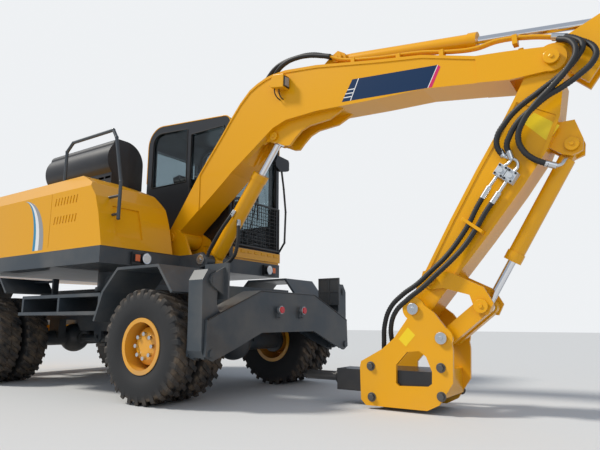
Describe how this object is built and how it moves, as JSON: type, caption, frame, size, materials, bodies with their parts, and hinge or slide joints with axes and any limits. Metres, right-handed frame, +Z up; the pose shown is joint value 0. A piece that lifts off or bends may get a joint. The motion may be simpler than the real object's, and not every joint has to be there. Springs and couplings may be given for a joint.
{
  "type": "wheeled excavator",
  "caption": "Wheeled excavator with twin tyres, outriggers, dozer blade, offset cab, jointed boom and a side-plate hydraulic breaker.",
  "frame": {"origin": "on the ground, midway between the boom's and the blade's furthest points and between the sides, under the outrigger-end axle", "axes": "+X along the boom in its stored position, +Y to the cab side, +Z up"},
  "size_m": [6.95, 2.25, 3.06],
  "materials": {
    "chassis_paint": "satin dark grey paint",
    "yellow_paint": "gloss deep yellow paint",
    "rod_chrome": "polished",
    "black_paint": "satin black paint",
    "glass": "clear",
    "seat_vinyl": "black vinyl",
    "lamp_body": "black housing",
    "engine_iron": "rough",
    "chisel_steel": "forged",
    "tyre_rubber": "dusty"
  },
  "bodies": {
    "chassis": {"chassis_frame": "chassis_paint", "crossbeam": "chassis_paint", "axle_fixed": "chassis_paint", "axle_steered": "chassis_paint", "driveline": "chassis_paint", "fenders_right": "chassis_paint", "fenders_left": "chassis_paint"},
    "wheels_fixed_right": {"rims_fixed_right": "yellow_paint", "tyres_fixed_right": "tyre_rubber"},
    "wheels_fixed_left": {"rims_fixed_left": "yellow_paint", "tyres_fixed_left": "tyre_rubber"},
    "knuckle_right": {"knuckle_right": "chassis_paint"},
    "knuckle_left": {"knuckle_left": "chassis_paint"},
    "steering_rod": {"steering_rod": "rod_chrome"},
    "wheels_steered_right": {"rims_steered_right": "yellow_paint", "tyres_steered_right": "tyre_rubber"},
    "wheels_steered_left": {"rims_steered_left": "yellow_paint", "tyres_steered_left": "tyre_rubber"},
    "leg_right": {"leg_right": "chassis_paint"},
    "leg_left": {"leg_left": "chassis_paint"},
    "foot_right": {"foot_right": "chassis_paint"},
    "foot_left": {"foot_left": "chassis_paint"},
    "leg_barrel_right": {"leg_barrel_right": "yellow_paint"},
    "leg_barrel_left": {"leg_barrel_left": "yellow_paint"},
    "leg_rod_right": {"leg_rod_right": "rod_chrome"},
    "leg_rod_left": {"leg_rod_left": "rod_chrome"},
    "blade": {"blade": "yellow_paint"},
    "blade_barrels": {"blade_barrels": "yellow_paint"},
    "blade_rods": {"blade_rods": "rod_chrome"},
    "upper": {"upper_frame": "chassis_paint", "boom_bracket": "yellow_paint", "counterweight": "yellow_paint", "tank_housing": "yellow_paint", "engine_hood": "yellow_paint", "engine_cover": "black_paint", "engine_block": "engine_iron", "cab_shell": "black_paint", "cab_glass": "glass", "window_guard": "black_paint", "seat_and_levers": "seat_vinyl", "handrails": "chassis_paint", "mirrors": "black_paint", "lamps": "lamp_body"},
    "hood_lid": {"hood_lid": "yellow_paint"},
    "cab_door": {"cab_door": "black_paint", "door_glass": "glass"},
    "boom": {"boom": "yellow_paint"},
    "boom_barrel": {"boom_barrel": "yellow_paint"},
    "boom_rod": {"boom_rod_shaft": "rod_chrome"},
    "dipper": {"dipper": "yellow_paint"},
    "arm_barrel": {"arm_barrel": "yellow_paint"},
    "arm_rod": {"arm_rod_shaft": "rod_chrome"},
    "tool_barrel": {"tool_barrel": "yellow_paint"},
    "tool_rod": {"tool_rod_shaft": "rod_chrome"},
    "rocker": {"rocker": "yellow_paint"},
    "h_link": {"h_link": "yellow_paint"},
    "breaker": {"breaker_plates": "yellow_paint", "breaker_body": "black_paint", "chisel": "chisel_steel"}
  },
  "joints": [
    {"name": "wheels_fixed_right_roll", "type": "hinge", "parent": "chassis", "child": "wheels_fixed_right", "pos_m": [0, -0.8575, 0.45], "axis": [0, 1, 0], "continuous": true},
    {"name": "wheels_fixed_left_roll", "type": "hinge", "parent": "chassis", "child": "wheels_fixed_left", "pos_m": [0, 0.8575, 0.45], "axis": [0, 1, 0], "continuous": true},
    {"name": "steering", "type": "hinge", "parent": "chassis", "child": "knuckle_right", "pos_m": [-2.58, -0.53, 0.45], "axis": [0, 0, 1], "range_deg": [-27, 27]},
    {"name": "steering_left", "type": "hinge", "parent": "chassis", "child": "knuckle_left", "pos_m": [-2.58, 0.53, 0.45], "axis": [0, 0, 1], "range_deg": [-27, 27]},
    {"name": "steering_rod_slide", "type": "slide", "parent": "chassis", "child": "steering_rod", "axis": [0, 1, 0], "range_m": [-0.1038, 0.1038]},
    {"name": "wheels_steered_right_roll", "type": "hinge", "parent": "knuckle_right", "child": "wheels_steered_right", "pos_m": [-2.58, -0.8575, 0.45], "axis": [0, 1, 0], "continuous": true},
    {"name": "wheels_steered_left_roll", "type": "hinge", "parent": "knuckle_left", "child": "wheels_steered_left", "pos_m": [-2.58, 0.8575, 0.45], "axis": [0, 1, 0], "continuous": true},
    {"name": "outrigger_right", "type": "hinge", "parent": "chassis", "child": "leg_right", "pos_m": [0.56, -1, 0.41], "axis": [1, 0, 0], "range_deg": [0, 122]},
    {"name": "foot_right_tilt", "type": "hinge", "parent": "leg_right", "child": "foot_right", "pos_m": [0.56, -0.99, 0.95], "axis": [1, 0, 0], "range_deg": [0, 180]},
    {"name": "leg_barrel_right_swing", "type": "hinge", "parent": "chassis", "child": "leg_barrel_right", "pos_m": [0.56, -0.15, 0.69], "axis": [1, 0, 0], "range_deg": [-1, 10]},
    {"name": "leg_rod_right_slide", "type": "slide", "parent": "leg_barrel_right", "child": "leg_rod_right", "axis": [0, -0.9925, -0.1224], "range_m": [-0.001, 0.4]},
    {"name": "outrigger_left", "type": "hinge", "parent": "chassis", "child": "leg_left", "pos_m": [0.56, 1, 0.41], "axis": [-1, 0, 0], "range_deg": [0, 122]},
    {"name": "foot_left_tilt", "type": "hinge", "parent": "leg_left", "child": "foot_left", "pos_m": [0.56, 0.99, 0.95], "axis": [-1, 0, 0], "range_deg": [0, 180]},
    {"name": "leg_barrel_left_swing", "type": "hinge", "parent": "chassis", "child": "leg_barrel_left", "pos_m": [0.56, 0.15, 0.69], "axis": [-1, 0, 0], "range_deg": [-1, 10]},
    {"name": "leg_rod_left_slide", "type": "slide", "parent": "leg_barrel_left", "child": "leg_rod_left", "axis": [0, 0.9925, -0.1224], "range_m": [-0.001, 0.4]},
    {"name": "blade_lift", "type": "hinge", "parent": "chassis", "child": "blade", "pos_m": [-2.92, 0, 0.52], "axis": [0, -1, 0], "range_deg": [0, 50]},
    {"name": "blade_barrels_swing", "type": "hinge", "parent": "chassis", "child": "blade_barrels", "pos_m": [-3.05, 0, 0.88], "axis": [0, -1, 0], "range_deg": [-1, 27]},
    {"name": "blade_rods_slide", "type": "slide", "parent": "blade_barrels", "child": "blade_rods", "axis": [-0.6, 0, -0.8], "range_m": [-0.001, 0.25]},
    {"name": "slew", "type": "hinge", "parent": "chassis", "child": "upper", "pos_m": [-1.29, 0, 1.1], "axis": [0, 0, 1], "continuous": true},
    {"name": "boom_lift", "type": "hinge", "parent": "upper", "child": "boom", "pos_m": [-0.72, 0, 1.5], "axis": [0, -1, 0], "range_deg": [-30, 40]},
    {"name": "boom_barrel_swing", "type": "hinge", "parent": "upper", "child": "boom_barrel", "pos_m": [-0.28, 0, 1.24], "axis": [0, -1, 0], "range_deg": [-33, 43]},
    {"name": "boom_rod_slide", "type": "slide", "parent": "boom_barrel", "child": "boom_rod", "axis": [0.5846, 0, 0.8113], "range_m": [-0.26, 0.345]},
    {"name": "dipper_swing", "type": "hinge", "parent": "boom", "child": "dipper", "pos_m": [2.972, 0, 2.433], "axis": [0, 1, 0], "range_deg": [-100, 5]},
    {"name": "arm_barrel_swing", "type": "hinge", "parent": "boom", "child": "arm_barrel", "pos_m": [1.235, 0, 2.985], "axis": [0, -1, 0], "range_deg": [-1, 6]},
    {"name": "arm_rod_slide", "type": "slide", "parent": "arm_barrel", "child": "arm_rod", "axis": [0.9892, 0, -0.1469], "range_m": [-0.73, 0.04]},
    {"name": "breaker_curl", "type": "hinge", "parent": "dipper", "child": "breaker", "pos_m": [1.919, 0, 0.733], "axis": [0, -1, 0], "range_deg": [-60, 60]},
    {"name": "rocker_swing", "type": "hinge", "parent": "dipper", "child": "rocker", "pos_m": [2.03, 0, 0.95], "axis": [0, -1, 0], "range_deg": [-44, 44]},
    {"name": "h_link_swing", "type": "hinge", "parent": "rocker", "child": "h_link", "pos_m": [2.393, 0, 0.747], "axis": [0, -1, 0], "range_deg": [-28, 28]},
    {"name": "tool_barrel_swing", "type": "hinge", "parent": "dipper", "child": "tool_barrel", "pos_m": [3.035, 0, 1.819], "axis": [0, -1, 0], "range_deg": [-3, 3]},
    {"name": "tool_rod_slide", "type": "slide", "parent": "tool_barrel", "child": "tool_rod", "axis": [-0.5138, 0, -0.8579], "range_m": [-0.29, 0.29]},
    {"name": "hood_lid_lift", "type": "hinge", "parent": "upper", "child": "hood_lid", "pos_m": [-1.76, 0, 2.056], "axis": [0, 1, 0], "range_deg": [0, 60]},
    {"name": "cab_door_swing", "type": "hinge", "parent": "upper", "child": "cab_door", "pos_m": [-1.14, 1.1135, 2], "axis": [0, 0, 1], "range_deg": [0, 160]}
  ],
  "couplings": [
    {"joint": "steering_left", "follows": "steering", "ratio": 1},
    {"joint": "steering_rod_slide", "follows": "steering", "m_per_rad": -0.22},
    {"joint": "leg_barrel_right_swing", "follows": "outrigger_right", "ratio": 0.047},
    {"joint": "leg_rod_right_slide", "follows": "outrigger_right", "m_per_rad": 0.182},
    {"joint": "leg_barrel_left_swing", "follows": "outrigger_left", "ratio": 0.047},
    {"joint": "leg_rod_left_slide", "follows": "outrigger_left", "m_per_rad": 0.182},
    {"joint": "blade_barrels_swing", "follows": "blade_lift", "ratio": 0.484},
    {"joint": "blade_rods_slide", "follows": "blade_lift", "m_per_rad": 0.275},
    {"joint": "boom_barrel_swing", "follows": "boom_lift", "ratio": 1.04},
    {"joint": "boom_rod_slide", "follows": "boom_lift", "m_per_rad": 0.49},
    {"joint": "arm_barrel_swing", "follows": "dipper_swing", "ratio": -0.054},
    {"joint": "arm_rod_slide", "follows": "dipper_swing", "m_per_rad": 0.413},
    {"joint": "rocker_swing", "follows": "breaker_curl", "ratio": 0.72},
    {"joint": "h_link_swing", "follows": "breaker_curl", "ratio": -0.45},
    {"joint": "tool_barrel_swing", "follows": "breaker_curl", "ratio": -0.038},
    {"joint": "tool_rod_slide", "follows": "breaker_curl", "m_per_rad": -0.2665}
  ]
}
